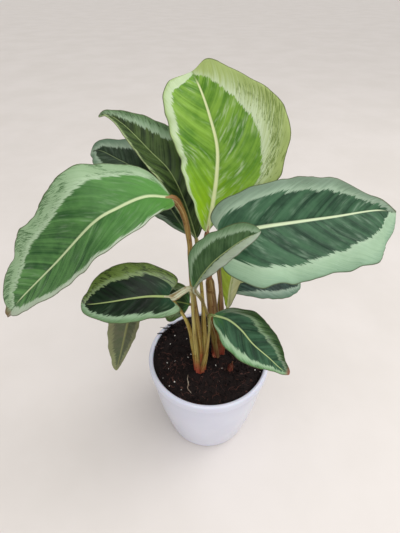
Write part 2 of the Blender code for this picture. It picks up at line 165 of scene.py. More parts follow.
# Each leaf, in millimetres and degrees, as in the CAD part's own table:
#   midrib  points that the midrib runs through, from the stem to the tip
#   faces   which way the blade's upper side looks, from the stem to the tip
#   left    half-widths at the five stations; right is the same
#   fold    how far a half is raised above flat; fold_left is for the left half only
#   lobes   how far the edges run past the blade's base and past its tip
#   wave    how high the edge's even waves are, and how many
#   stem    the crown that the stem stands on, its bearing around it (None is the middle), its
#           route, and its radius at the foot and at the blade
LEAVES = {
    "arching": dict(
        midrib=[(-30, -8, 296), (-46, -20, 303), (-63, -32, 301), (-79, -40, 294), (-107, -46, 267),
                (-137, -51, 239), (-149, -53, 226)],
        faces=[(-0.1, -0.4, 1), (-0.3, -0.6, 0.75), (-0.4, -0.6, 0.6)], left=(18, 29, 29, 23, 12),
        right=(25, 38, 35, 31, 17), fold=(10, 20, 20), lobes=(2, 2), wave=(0.8, 3),
        stem=("left", None, [(-9, -17, 130), (-12, -16, 170), (-16, -12, 222), (-17, -8, 254),
                             (-21, -6, 280)], (2.0, 1.8))),
    "upright": dict(
        midrib=[(-3, 8, 256), (1, 17, 276), (4, 25, 298), (4, 32, 318), (-2, 39, 339), (-9, 46, 356),
                (-16, 54, 367)], faces=[(-0.1, -1, 0.4)], left=(13, 25, 31, 32, 26),
        right=(9, 39, 53, 49, 22), fold=(14, 8, 4), fold_left=(40, 24, 16), lobes=(0, 5), wave=(0.8, 4),
        stem=("sheath", None, [(-3, 7, 235)], (2.4, 1.6))),
    "right": dict(
        midrib=[(7, -10, 263), (33, -11, 272), (62, -9, 276), (92, -6, 279), (123, -2, 282),
                (139, -2, 280)], faces=[(-0.1, -0.8, 0.65)], left=(24, 32, 32, 26, 7),
        right=(34, 44, 42, 40, 31), fold=(5,), lobes=(10, 3), wave=(1.0, 4),
        stem=("right", -30, [(14, 3, 135), (12, 2.5, 160), (9.5, 1.5, 200), (5, -4, 238),
                             (3, -9, 254)], (1.6, 1.6))),
    "pointed": dict(
        midrib=[(-12, 14, 246), (-22, 22, 278), (-33, 30, 299), (-48, 38, 312), (-67, 48, 328),
                (-81, 54, 335), (-89, 56, 333)], faces=[(0.3, -0.7, 0.7)], left=(8, 17, 20, 14, 5),
        right=(10, 22, 28, 20, 6), fold=(20,), fold_left=(36,),
        stem=("left", 0, [(-5, -14, 130), (-6, -4, 180), (-10, 8, 225)], (1.6, 1.4))),
    "rolled": dict(
        midrib=[(-14, -26, 225), (-8, -30, 241), (0, -34, 257), (10, -38, 271), (20, -42, 283),
                (30, -46, 292)], faces=[(-0.8, -0.45, 0.4)], left=(8, 17, 18, 15, 10),
        right=(4, 10, 15, 14, 9), fold=(33,),
        stem=("right", -90, [(6, -3, 130), (1, -10, 165), (-7, -20, 205)], (1.5, 1.2))),
    "oval": dict(
        midrib=[(-34, -25, 215), (-49, -30, 220), (-65, -35, 222), (-77, -38, 222), (-93, -41, 222),
                (-100, -42, 224)], faces=[(-0.1, -0.5, 0.9)], left=(15, 19, 20, 18, 11),
        right=(20, 28, 29, 26, 15), fold=(8,), lobes=(12, 0),
        stem=("left", 240, [(-13, -21, 150), (-15, -22, 190), (-15.5, -21, 213),
                            (-18.5, -22, 221)], (1.5, 1.2))),
    "front": dict(
        midrib=[(3, -22, 190), (15, -26, 189), (26, -32, 183), (37, -38, 171), (51, -44, 160),
                (61, -49, 152), (69, -52, 148)],
        faces=[(0.1, -0.5, 0.9), (0.4, -0.5, 0.7), (0.6, -0.5, 0.6)], left=(8, 20, 23, 19, 9),
        right=(15, 22, 20, 13, 5), fold=(6,),
        stem=("left", 300, [(-4, -21, 130), (-1, -21, 165), (-1, -21, 184)], (1.5, 1.1))),
    "low": dict(
        midrib=[(17, 28, 178), (41, 34, 182), (67, 40, 177), (90, 45, 167), (97, 46, 163)],
        faces=[(0, -0.5, 0.9)], left=(11, 19, 21, 19, 11), right=(11, 19, 21, 19, 11), fold=(5,),
        stem=("right", 90, [(9, 20, 140), (11, 26, 170)], (1.5, 1.2))),
    "lime": dict(
        midrib=[(18, 10, 167), (19, 14, 187), (22, 20, 206), (26, 28, 223), (28, 36, 242)],
        faces=[(0, -1, 0.2)], left=(4, 8, 12, 14, 10), right=(4, 8, 12, 14, 10), fold=(5,),
        stem=("right", 30, [(17, 9.5, 140)], (1.6, 1.3))),
    "hanging": dict(
        midrib=[(-61, -6, 212), (-70, -2, 189), (-80, 0, 154), (-90, -2, 118), (-99, -4, 87)],
        faces=[(-0.3, 1, 0.2)], left=(9, 16, 17, 14, 7), right=(8, 14, 15, 12, 6), fold=(20,),
        stem=("left", 180, [(-15, -14, 135), (-20, -10, 165), (-32, -8, 192), (-48, -7, 210),
                            (-58, -7, 216)], (1.5, 1.1))),
    "shaded": dict(
        midrib=[(-19, 2, 180), (-30, 6, 179), (-42, 9, 174), (-51, 10, 168)], faces=[(-0.1, -0.6, 0.8)],
        left=(12, 17, 18, 16, 9), right=(12, 17, 18, 16, 9), fold=(5,),
        stem=("left", 120, [(-13, -9, 135), (-15, -2, 160), (-16, 1, 177)], (1.5, 1.1))),
    "back": dict(
        midrib=[(-20, 14, 251), (-39, 34, 271), (-60, 48, 290), (-82, 60, 298), (-96, 68, 301),
                (-105, 72, 298)], faces=[(0, -0.6, 0.8)], left=(8, 19, 24, 24, 13),
        right=(8, 20, 25, 22, 11), fold=(10,),
        stem=("left", 60, [(-8, -10, 130), (-13, 0, 180), (-18, 9, 225)], (1.5, 1.3))),
}

# How each leaf is painted. What a leaf doesn't give comes from "plain":
#   dark, mid     the two greens of the patterned centre
#   base          the green that the centre turns to near the stem, and how far that reaches
#   band          the pale margin: left and right half
#   rim           the margin's outer part: left and right half
#   rim_width     how far the rim colour and its dashes reach in from the edge: left and right half
#   dashes        how much of the rim is broken by dark dashes: left and right half
#   dash          the dashes' colour, or None for the dark green; dash_end is where they fade out
#   rib           the midrib's colour, and rib_size its half-width at the stem
#   centre_left   how much of the half-width the centre takes at the five stations; centre_right too
#   ruffle        how wavy the blade's edge is, and lumps the slow waves of its left and right edge
#   teeth         how far the centre's feathered border reaches in and out
#   sheen         how strongly pale streaks of painted sheen lie on the centre
#   tail          how far the tip is drawn out; notch is how far it is cut in
#   tip           the tip's colour, or None, and how far it reaches
LOOKS = {
    "plain": dict(
        dark=(20, 48, 30), mid=(66, 108, 66), base=((70, 120, 60), 0.15),
        band=((160, 188, 158), (160, 188, 158)), rim=((122, 154, 120), (122, 154, 120)),
        rim_width=(5, 5), dashes=(0.2, 0.2), rib=(176, 192, 134), rib_size=1.0,
        centre_left=(0.75, 0.68, 0.64, 0.6, 0.45), centre_right=(0.75, 0.68, 0.64, 0.6, 0.45),
        ruffle=1.0, lumps=(0.6, 0.6), teeth=0.8, dash=None, dash_end=1.1, sheen=0.15, tail=0.0,
        notch=0.0, tip=(None, 0.0)),
    "arching": dict(
        dark=(32, 74, 36), mid=(94, 142, 78), base=((92, 152, 68), 0.5),
        band=((176, 196, 168), (166, 192, 156)), rim=((186, 198, 178), (150, 178, 140)),
        rim_width=(5, 13), dashes=(0.0, 1.15), rib=(194, 208, 162), rib_size=1.6,
        centre_left=(0.95, 0.93, 0.89, 0.82, 0.6), centre_right=(0.68, 0.66, 0.64, 0.62, 0.42),
        ruffle=1.3, lumps=(0.6, 4.0), teeth=0.55, dash=(54, 92, 46), sheen=0.2, tail=5.0,
        tip=((110, 86, 54), 2.5)),
    # Its bright yellow-greens are partly the leaf's own colour and partly painted light shining through
    # it from behind
    "upright": dict(
        dark=(74, 128, 26), mid=(140, 184, 66), base=((162, 208, 24), 0.5),
        band=((204, 222, 180), (222, 236, 200)), rim=((178, 202, 140), (172, 190, 116)),
        rim_width=(3, 22), dashes=(0.0, 1.1), rib=(222, 230, 176), rib_size=2.2,
        centre_left=(0.88, 0.88, 0.86, 0.82, 0.74), centre_right=(0.8, 0.72, 0.64, 0.52, 0.4),
        ruffle=1.4, lumps=(1.0, 3.0), teeth=0.6, dash=(94, 118, 38), dash_end=0.74, sheen=0.6,
        notch=2.0),
    "right": dict(
        dark=(20, 56, 36), mid=(70, 112, 80), base=((48, 88, 56), 0.1),
        band=((152, 180, 154), (166, 196, 166)), rim=((128, 150, 130), (146, 178, 150)),
        rim_width=(9, 7), dashes=(0.1, 0.1), rib=(214, 230, 190), rib_size=1.7,
        centre_left=(0.64, 0.7, 0.7, 0.64, 0.52), centre_right=(0.62, 0.7, 0.7, 0.6, 0.46), ruffle=1.2,
        lumps=(1.0, 6.0), sheen=0.4),
    "pointed": dict(
        dark=(20, 38, 16), mid=(80, 104, 52), base=((44, 66, 20), 0.2),
        band=((128, 146, 88), (140, 168, 136)), rim=((160, 176, 112), (96, 128, 84)), rim_width=(2, 6),
        dashes=(0.0, 0.8), rib=(150, 168, 108), rib_size=0.7, centre_left=(0.9, 0.9, 0.9, 0.86, 0.7),
        centre_right=(0.9, 0.86, 0.66, 0.52, 0.3)),
    "rolled": dict(
        dark=(30, 66, 30), mid=(86, 120, 74), band=((140, 172, 136), (202, 216, 194)),
        rim=((110, 144, 104), (198, 210, 194)), rib_size=0.8, centre_left=(0.72, 0.68, 0.64, 0.6, 0.4),
        centre_right=(0.4, 0.26, 0.16, 0.1, 0.05), teeth=0.6),
    "oval": dict(
        dark=(4, 14, 5), mid=(24, 50, 26), base=((16, 70, 40), 0.22),
        band=((146, 180, 142), (134, 160, 88)), rim=((112, 146, 102), (104, 128, 56)),
        rim_width=(4, 12), dashes=(0.2, 1.1), rib=(170, 188, 122), rib_size=1.1,
        centre_left=(0.76, 0.74, 0.7, 0.66, 0.5), centre_right=(0.68, 0.62, 0.58, 0.55, 0.42),
        teeth=0.6),
    "front": dict(
        dark=(12, 46, 28), mid=(58, 100, 70), band=((118, 156, 104), (152, 186, 148)),
        rim=((40, 68, 22), (96, 140, 90)), rim_width=(13, 3.5), dashes=(0.8, 0.5), rib=(176, 196, 134),
        centre_left=(0.68, 0.6, 0.54, 0.5, 0.4), centre_right=(0.72, 0.7, 0.66, 0.64, 0.4), teeth=0.6,
        sheen=0.2, tip=((134, 74, 54), 5.0)),
    "low": dict(
        dark=(20, 42, 34), mid=(50, 78, 68), band=((126, 152, 134), (134, 158, 142)),
        rim=((102, 132, 108), (98, 128, 108)), centre_right=(0.75, 0.64, 0.58, 0.54, 0.35)),
    "lime": dict(
        dark=(166, 196, 44), mid=(186, 208, 84), base=((176, 208, 60), 0.3),
        band=((176, 202, 66), (214, 216, 164)), rim=((166, 194, 60), (208, 210, 156)),
        dashes=(0.0, 0.0), rib=(206, 214, 160), centre_left=(0.95, 0.95, 0.95, 0.95, 0.8),
        centre_right=(0.1, 0.1, 0.1, 0.1, 0.1), teeth=0.3),
    "hanging": dict(
        dark=(30, 56, 32), mid=(58, 88, 50)),
    # Painted shade: this hidden leaf's greens, band, rim and rib are all darkened
    "shaded": dict(
        dark=(18, 38, 16), mid=(46, 70, 32), band=((84, 108, 52), (84, 108, 52)),
        rim=((74, 98, 46), (74, 98, 46)), rib=(110, 128, 66), rib_size=0.7),
    "back": dict(
        dark=(24, 42, 26), mid=(48, 70, 44), band=((124, 148, 126), (128, 150, 130)),
        rim=((104, 130, 106), (100, 126, 104)), rib=(120, 138, 96), rib_size=0.7,
        centre_left=(0.75, 0.7, 0.7, 0.68, 0.5), centre_right=(0.75, 0.64, 0.6, 0.56, 0.4), ruffle=1.6),
}

# The undersides: the centre, the margin, and a blush over both
UNDERSIDES = {
    "plain": ((82, 98, 72), (140, 152, 122), (116, 98, 102)),
    "upright": ((122, 144, 62), (172, 188, 122), (168, 160, 100)),
    "lime": ((122, 144, 62), (172, 188, 122), (168, 160, 100)),
    "hanging": ((74, 90, 62), (138, 146, 102), (112, 104, 84)),
}

# How each stem is painted: near the soil, half-way, under the blade, and at the blade's foot
STEM_LOOKS = {
    "plain": ((190, 78, 66), (184, 166, 82), (166, 156, 80), (158, 156, 98)),
    "arching": ((186, 78, 64), (170, 148, 70), (150, 120, 62), (158, 124, 78)),
    "upright": ((154, 108, 70), (156, 128, 76), (168, 122, 92), (186, 104, 90)),
    "right": ((160, 70, 56), (136, 104, 62), (126, 108, 62), (150, 140, 86)),
    "oval": ((186, 80, 66), (170, 158, 86), (160, 152, 92), (212, 218, 190)),
    "rolled": ((146, 84, 64), (156, 142, 76), (152, 144, 82), (178, 190, 166)),
    "lime": ((160, 90, 66), (172, 166, 70), (172, 180, 76), (168, 184, 80)),
    "front": ((190, 84, 68), (172, 152, 84), (140, 148, 78), (110, 148, 90)),
    "sheath": ((156, 82, 62), (146, 108, 64), (150, 124, 70), (156, 138, 78)),
    "shoot": ((110, 44, 42), (120, 48, 46), (112, 50, 44), (134, 92, 66)),
}

# Where along a stem its colour at the blade's foot begins, and where that reaches further down
STEM_TOP = 0.94
STEM_TOPS = {"oval": 0.83, "rolled": 0.9}

# How much wider than the CAD part's each stem is drawn under its blade
STEM_BROAD = {"oval": 2.1, "arching": 1.25, "rolled": 1.35}


# ---------------------------------------------------------------- shapes

def smooth_through(points, t):
    """The place at t (0 to 1 over all the points) on a smooth curve through the points."""
    points = [Vector(p) for p in points]
    points = [2 * points[0] - points[1], *points, 2 * points[-1] - points[-2]]
    spans = len(points) - 3
    place = min(max(t, 0), 1) * spans
    i = min(int(place), spans - 1)
    f = place - i
    a, b, c, d = points[i:i + 4]
    return 0.5 * (2 * b + (c - a) * f + (2 * a - 5 * b + 4 * c - d) * f**2
                  + (3 * b - a - 3 * c + d) * f**3)


def even_steps(points, count, fine=40):
    """Points at even distances along the smooth curve through the given ones."""
    total = fine * (len(points) - 1)
    trail = [smooth_through(points, i / total) for i in range(total + 1)]
    run = [0.0]
    for a, b in zip(trail, trail[1:]):
        run.append(run[-1] + (b - a).length)
    steps = []
    i = 0
    for k in range(count):
        goal = run[-1] * k / (count - 1)
        while i < total - 1 and run[i + 1] < goal:
            i += 1
        steps.append(trail[i].lerp(trail[i + 1], (goal - run[i]) / (run[i + 1] - run[i])))
    return steps


def between(values, u):
    """Values spread evenly from the stem to the tip, read at u with soft steps."""
    if len(values) == 1:
        return values[0]
    place = u * (len(values) - 1)
    i = min(int(place), len(values) - 2)
    f = place - i
    f = f * f * (3 - 2 * f)
    return values[i] * (1 - f) + values[i + 1] * f


def through_stations(values, u):
    """A smooth value at u through the values at the stations, carried on past the outer ones."""
    spread = len(STATIONS) - 1
    place = (u - STATIONS[0]) / (STATIONS[-1] - STATIONS[0])
    inner = smooth_through([(w, 0, 0) for w in values], place).x
    beyond = place - min(max(place, 0), 1)
    slope = spread * ((values[-1] - values[-2]) if place > 1 else (values[1] - values[0]))
    return max(inner + beyond * slope, 0)


def half_width(widths, u):
    """Half-width at u, with round ends, through the half-widths at the stations."""
    full = [w / sqrt(4 * s * (1 - s)) for w, s in zip(widths, STATIONS)]
    return through_stations(full, u) * sqrt(max(4 * u * (1 - u), 0))


def lobe(u):
    """How much of a lobe's reach the edge has at a distance u from the blade's end."""
    return u / LOBE_REACH * exp(1 - u / LOBE_REACH)


def smooth_step(low, high, x):
    f = min(max((x - low) / (high - low), 0), 1)
    return f * f * (3 - 2 * f)


def turns(count):
    """Angles spread evenly over a full turn."""
    return [2 * pi * k / count for k in range(count)]


def polar(radius, turn):
    """The x and y of a place at this distance and angle from the middle."""
    return radius * cos(turn), radius * sin(turn)


def noise_at(*place):
    return noise.noise(Vector(place))


def frames(points, ahead):
    """The points of a route, each with two directions across it, of which one looks ahead."""
    last = len(points) - 1
    for k, place in enumerate(points):
        onward = (points[min(k + 1, last)] - points[max(k - 1, 0)]).normalized()
        ahead = (ahead - onward * ahead.dot(onward)).normalized()
        yield place, ahead, onward.cross(ahead)


def level_ring(bm, radius, height, steps):
    """Points round the pot's axis at height(x, y), or one point where the radius is 0."""
    places = [polar(radius, turn) for turn in turns(steps if radius else 1)]
    return [bm.verts.new((x, y, height(x, y))) for x, y in places]


def skin(bm, rings):
    """Faces between closed rings of points, one after the other. A ring may be a single point."""
    faces = []
    for low, high in zip(rings, rings[1:]):
        for s in range(max(len(low), len(high))):
            n = s + 1
            quad = [low[s % len(low)], low[n % len(low)], high[n % len(high)], high[s % len(high)]]
            faces.append(bm.faces.new(list(dict.fromkeys(quad))))
    return faces


def add_object(name, data):
    """An object in the scene with this mesh, light or camera."""
    made = bpy.data.objects.new(name, data)
    bpy.context.scene.collection.objects.link(made)
    return made


def new_piece(name, bm, stands_for, slot, *materials):
    """The bmesh as a smooth piece that rides on the part's one body, in place of a CAD node."""
    bmesh.ops.recalc_face_normals(bm, faces=bm.faces)
    mesh = bpy.data.meshes.new(name)
    bm.to_mesh(mesh)
    bm.free()
    mesh.shade_smooth()
    for material in materials:
        mesh.materials.append(material)
    piece = add_object(name, mesh)
    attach(piece, "root")
    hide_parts(stands_for)


# ---------------------------------------------------------------- materials

def tone(colour):
    """An sRGB colour, 0 to 255, as the linear colour that a shader takes."""
    linear = []
    for value in colour:
        value /= 255
        linear.append(value / 12.92 if value <= 0.04045 else ((value + 0.055) / 1.055) ** 2.4)
    return (*linear, 1)


def sign(operation):
    """A plain sign, such as +, between a wire and a number or another wire."""
    return lambda wire, other: wire.paint.math(operation, wire, other)


class Wire:
    """A value inside a shader, which plain sums can be written with."""

    def __init__(self, paint, socket):
        self.paint = paint
        self.socket = socket

    def __rsub__(self, other):
        return self.paint.math("SUBTRACT", other, self)

    __add__, __sub__ = sign("ADD"), sign("SUBTRACT")
    __mul__, __truediv__ = sign("MULTIPLY"), sign("DIVIDE")


class Paint:
    """A material, with short ways to wire its nodes. A colour is a wire or an sRGB triple."""

    def __init__(self, name, roughness=0.5):
        self.material = bpy.data.materials.new(name)
        self.material.use_nodes = True
        self.tree = self.material.node_tree
        self.shader = self.tree.nodes["Principled BSDF"]
        self.shader.inputs["Roughness"].default_value = roughness

    def node(self, kind, inputs=(), **settings):
        """A new node with these settings, and with these values in its inputs."""
        made = self.tree.nodes.new(kind)
        for name, value in settings.items():
            setattr(made, name, value)
        for key, value in inputs:
            self.put(value, made.inputs[key])
        return made

    def put(self, value, socket):
        """Wire a socket to another, or give it a plain value."""
        if isinstance(value, Wire):
            self.tree.links.new(value.socket, socket)
        else:
            socket.default_value = value

    def set(self, **inputs):
        """Give the shader's inputs; an underscore stands for a space."""
        for name, value in inputs.items():
            self.put(value, self.shader.inputs[name.replace("_", " ")])

    def attribute(self, name):
        return Wire(self, self.node("ShaderNodeAttribute", attribute_name=name).outputs["Fac"])

    def math(self, operation, *values):
        made = self.node("ShaderNodeMath", enumerate(values), operation=operation)
        return Wire(self, made.outputs[0])

    def step(self, low, high, value):
        """0 below low and 1 above high, softly. The two may be given the other way round."""
        ends = (0, 1)
        if low > high:
            low, high, ends = high, low, (1, 0)
        made = self.node("ShaderNodeMapRange", enumerate((value, low, high, *ends)),
                         interpolation_type="SMOOTHSTEP")
        return Wire(self, made.outputs[0])

    def mix(self, amount, low, high, blend="MIX"):
        """Two colours mixed: all of the second where amount is 1."""
        low, high = (tone(value) if isinstance(value, tuple) else value for value in (low, high))
        made = self.node("ShaderNodeMix", ((0, amount), (6, low), (7, high)), data_type="RGBA",
                         blend_type=blend)
        return Wire(self, made.outputs[2])

    def shade(self, amount, colour, by):
        """A colour darkened by another."""
        return self.mix(amount, colour, by, "MULTIPLY")

    def vector(self, *values):
        return Wire(self, self.node("ShaderNodeCombineXYZ", enumerate(values)).outputs[0])

    def noise(self, vector, scale=1.0, detail=2.0, roughness=0.5):
        inputs = {"Vector": vector, "Scale": scale, "Detail": detail, "Roughness": roughness}
        return Wire(self, self.node("ShaderNodeTexNoise", inputs.items()).outputs["Fac"])

    def place(self):
        """The point's place on the object, in metres."""
        return Wire(self, self.node("ShaderNodeTexCoord").outputs["Object"])

    def bump(self, height, strength, distance):
        inputs = {"Strength": strength, "Distance": distance, "Height": height}
        made = self.node("ShaderNodeBump", inputs.items())
        self.tree.links.new(made.outputs["Normal"], self.shader.inputs["Normal"])


@lru_cache(maxsize=None)
def look_of(name):
    return {**LOOKS["plain"], **LOOKS[name]}


def read_blade(paint, seed):
    """What the blade's mesh says of each point, and its streaks. See make_blade."""
    part = SimpleNamespace(seed=seed, **{name: paint.attribute(name) for name in BLADE_SAYS})
    part.middle = paint.step(0.26, 0.74, streaks(paint, part, 2.4, 40, 2.0))
    part.broad = paint.step(0.28, 0.72, streaks(paint, part, 7.0, 60, 3.0, detail=1.0))
    return part


def streaks(paint, part, width, length, shift=0.0, detail=2.0):
    """Noise that is drawn out along the side veins, of this width and length in millimetres."""
    place = paint.vector(part.vein * (1 / width), part.rib * (1 / length), part.seed + shift)
    return paint.noise(place, detail=detail)


def vein_lines(paint, part, width):
    """Thin lines along the side veins: 1 on the line. The width is a share of their period."""
    phase = part.vein / VEIN_PERIOD + streaks(paint, part, 6, 30, 9.1) * 1.6
    return paint.step(width, 0, paint.math("ABSOLUTE", paint.math("FRACT", phase) - 0.5))


def leaf_top(name, seed):
    """The upper side: a feathered dark centre, a pale band, a dashed rim, and a pale midrib."""
    look = look_of(name)
    paint = Paint(f"leaf_{name}_top")
    mix, shade, step = paint.mix, paint.shade, paint.step
    part = read_blade(paint, seed)
    right = step(-0.02, 0.02, part.side)

    def halves(key):
        """What the look gives for this key: its first value on the left half, else its second."""
        left_value, right_value = look[key]
        if isinstance(left_value, tuple):
            return mix(right, left_value, right_value)
        return right * (right_value - left_value) + left_value

    fine = step(0.28, 0.72, streaks(paint, part, 0.55, 40, 1.0, detail=3.0))
    mottle = step(0.3, 0.7, paint.noise(paint.place(), 70, 4, 0.6))
    lines = vein_lines(paint, part, 0.17)
    sway = part.middle - 0.5

    # The centre: bands along the veins, its green near the stem, and streaks of painted sheen
    bands = step(0.12, 0.9, part.broad * 0.4 + part.middle * 0.3 + mottle * 0.3 + fine * 0.1)
    centre = mix(bands, look["dark"], look["mid"])
    base_colour, base_reach = look["base"]
    near_stem = step(base_reach, 0.0, part.along + sway * 0.16)
    centre = mix(near_stem * 0.85, centre, base_colour)
    centre = shade(fine * 0.35, centre, (168, 178, 164))
    centre = mix(lines * 0.2, centre, look["mid"])
    # Painted sheen: pale streaks in the colour that stand for light reflected off the leaf
    painted_shine = step(0.46, 0.74, streaks(paint, part, 3.0, 8, 6.0, detail=3.0))
    painted_shine *= step(0.42, 0.6, paint.noise(paint.place(), 42, 2))
    centre = mix(painted_shine * look["sheen"], centre, look["band"][0])

    # The margin: a pale band that turns to the rim's colour
    outward = part.edge / halves("rim_width")
    in_rim = step(1.3, 0.1, outward + sway * 0.5)
    margin = mix(in_rim, halves("band"), halves("rim"))
    margin = shade(fine * 0.3, margin, (206, 218, 198))
    margin = shade(mottle * 0.3, margin, (214, 222, 206))

    # Its dashes: short dark streaks, in patches, thinning out inwards
    patch = paint.noise(paint.vector(part.along * 6, part.edge * 0.1, seed + 5.0), detail=2)
    share = step(0.36, 0.52, patch) * halves("dashes") * step(1.15, 0.45, outward)
    share *= step(look["dash_end"] + 0.12, look["dash_end"], part.along)
    dash = streaks(paint, part, 0.9, 2.0, 4.0, detail=3.0) - (0.66 - share * 0.16)
    dash = step(0.0, 0.05, dash) * step(0.0, 0.2, share)
    margin = mix(dash * 0.8, margin, look["dash"] or look["dark"])

    # Where the two meet: teeth along the veins, with a pale glow outside them
    teeth = look["teeth"]
    depth = part.centre + part.middle * (3.4 * teeth) + fine * 1.6 + part.broad * (1.6 * teeth)
    depth -= 0.8 + 2.6 * teeth
    margin = mix(step(-4.5, -0.5, depth) * 0.2, margin, (206, 222, 198))
    colour = mix(step(-0.5, 0.6, depth), margin, centre)

    # A dark line at the edge, the midrib with a soft shadow beside it, and the tip
    colour = mix(step(0.8, 0.3, part.edge) * 0.8, colour, (78, 84, 48))
    across_rib = part.rib / (look["rib_size"] - part.along * (look["rib_size"] * 0.78))
    on_rib = step(1.35, 0.5, across_rib) * step(0.96, 0.88, part.along)
    colour = shade(step(3.2, 1.0, across_rib) * 0.25, colour, (150, 160, 140))
    colour = mix(on_rib, colour, look["rib"])
    tip_colour, tip_reach = look["tip"]
    if tip_colour:
        at_tip = step(1 - tip_reach / midrib_of(name)[1], 1, part.along)
        colour = mix(at_tip, colour, tip_colour)

    paint.set(Base_Color=colour, Roughness=part.middle * 0.14 + 0.26, Specular_IOR_Level=0.22)
    paint.bump(lines * -0.6 + fine * 0.5 + on_rib * 0.6, 0.4, 0.3 * MM)
    return paint.material


def leaf_under(name, seed):
    """The underside: dull, olive to faintly purple, with the centre showing through."""
    paint = Paint(f"leaf_{name}_under", 0.5)
    part = read_blade(paint, seed)
    mottle = paint.step(0.3, 0.7, paint.noise(paint.place(), 50, 3, 0.6))
    dark, pale, blush = UNDERSIDES.get(name, UNDERSIDES["plain"])
    depth = part.centre + part.middle * 3.4 + part.broad * 1.6 - 2.5
    colour = paint.mix(paint.step(-1.0, 1.5, depth), pale, dark)
    colour = paint.mix(mottle * 0.35 + part.broad * 0.25, colour, blush)
    lines = vein_lines(paint, part, 0.2)
    colour = paint.mix(lines * 0.35, colour, pale)
    on_rib = paint.step(1.2, 0.7, part.rib / (1.3 - part.along))
    colour = paint.mix(on_rib * 0.8, colour, (134, 138, 88))
    paint.set(Base_Color=colour, Specular_IOR_Level=0.25)
    paint.bump(lines * 0.7 + part.middle * 0.4, 0.4, 0.4 * MM)
    return paint.material


def stem_paint(name, colours, reach=STEM_TOP):
    """Red near the soil, olive or brown with long streaks, its own colour from reach; painted highlight
    and side shade.
    """
    paint = Paint(name, 0.42)
    mix, shade, step = paint.mix, paint.shade, paint.step
    along = paint.attribute("along")
    turn = paint.attribute("turn")
    streak = paint.noise(paint.vector(along * 3, turn * 2.4, 1.0), 2.0, 3)
    mottle = paint.noise(paint.place(), 260, 3, 0.6)
    run = along + (mottle - 0.5) * 0.16
    at_top = step(reach - 0.04, reach + 0.03, along)
    foot, low, high, top = colours
    colour = mix(step(0.06, 0.26, run), foot, low)
    colour = mix(step(0.5, 0.9, run), colour, high)
    colour = mix(at_top, colour, top)
    # Long streaks of the stem's own colour; the pale ones are partly a painted highlight
    colour = mix(step(0.5, 0.68, streak) * 0.35, colour, (206, 196, 140))
    colour = shade(step(0.52, 0.36, streak), colour, (196, 170, 138))
    colour = shade(step(0.55, 0.7, mottle), colour, (204, 178, 150))
    # Painted shade: the colour darkens towards the stem's sides, less so near its top
    painted_side_shade = step(0.45, 1.0, paint.math("ABSOLUTE", turn)) * (0.6 - at_top * 0.5)
    colour = shade(painted_side_shade, colour, (150, 128, 104))
    paint.set(Base_Color=colour, Specular_IOR_Level=0.35)
    paint.set(Subsurface_Weight=0.08, Subsurface_Scale=2 * MM)
    paint.bump(streak, 0.5, 0.3 * MM)
    return paint.material


def pot_paint():
    """Smooth white plastic: faint moulding ripple, a little dust and fine scuffs."""
    paint = Paint("pot_plastic")
    place = paint.place()
    dust = paint.noise(place, 900, 4, 0.7)
    soft = paint.step(0.3, 0.7, paint.noise(place, 22, 3))
    colour = paint.mix(soft, (222, 225, 240), (215, 218, 235))
    colour = paint.shade(paint.step(0.62, 0.8, dust) * 0.25, colour, (206, 200, 196))
    paint.set(Base_Color=colour, Roughness=dust * 0.12 + 0.16)
    paint.set(Subsurface_Weight=0.1, Subsurface_Scale=4 * MM, Coat_Weight=0.2)
    paint.bump(paint.noise(place, 45, 2), 0.06, 1 * MM)
    return paint.material


def soil_paint():
    """Damp peat: nearly black, with reddish bark and grey-brown patches that have dried."""
    paint = Paint("soil_mix")
    place = paint.place()
    fine = paint.noise(place, 900, 4, 0.7)
    coarse = paint.noise(place, 180, 3, 0.6)
    colour = paint.mix(paint.step(0.35, 0.7, fine), (13, 9, 10), (40, 28, 26))
    colour = paint.mix(paint.step(0.6, 0.75, coarse) * 0.5, colour, (58, 36, 31))
    paint.set(Base_Color=colour, Roughness=coarse * 0.3 + 0.65, Specular_IOR_Level=0.2)
    paint.bump(fine, 0.8, 0.6 * MM)
    return paint.material


def plain_paint(name, dark, pale, roughness, scale):
    """Two tones of one colour in small patches, with a matching bump."""
    paint = Paint(name, roughness)
    patches = paint.noise(paint.place(), scale, 3, 0.6)
    paint.set(Base_Color=paint.mix(paint.step(0.3, 0.7, patches), dark, pale))
    paint.bump(patches, 0.4, 0.3 * MM)
    return paint.material


# ---------------------------------------------------------------- leaves

@lru_cache(maxsize=None)
def midrib_of(name):
    """The midrib as fine steps, and its length, in millimetres."""
    midrib = even_steps(LEAVES[name]["midrib"], 161)
    return midrib, sum((b - a).length for a, b in zip(midrib, midrib[1:]))


@lru_cache(maxsize=None)
def blade_row(name, u):
    """What all the points of a blade at u share: its place on the midrib and its directions, for
    each half its width and fold, and how far its edge is shifted lengthways."""
    leaf = LEAVES[name]
    midrib, _ = midrib_of(name)
    row = min(u * (len(midrib) - 1), len(midrib) - 1.001)
    i = int(row)
    along = (midrib[i + 1] - midrib[i]).normalized()
    up = between([Vector(f).normalized() for f in leaf["faces"]], u)
    up = (up - along * up.dot(along)).normalized()
    folds = {"left": leaf.get("fold_left", leaf["fold"]), "right": leaf["fold"]}
    back, ahead = leaf.get("lobes", (0, 0))
    return SimpleNamespace(
        place=midrib[i].lerp(midrib[i + 1], row - i), along=along, across=along.cross(up), up=up,
        width={side: half_width(leaf[side], u) for side in folds},
        fold={side: radians(between(angles, u)) for side, angles in folds.items()},
        shift=ahead * lobe(1 - u) - back * lobe(u))


def vein_at(length, u, reach, v):
    """A number in millimetres that stays the same along a side vein, which leans to the tip."""
    return u * length - reach * (VEIN_LEAN + VEIN_CURVE * v * v)


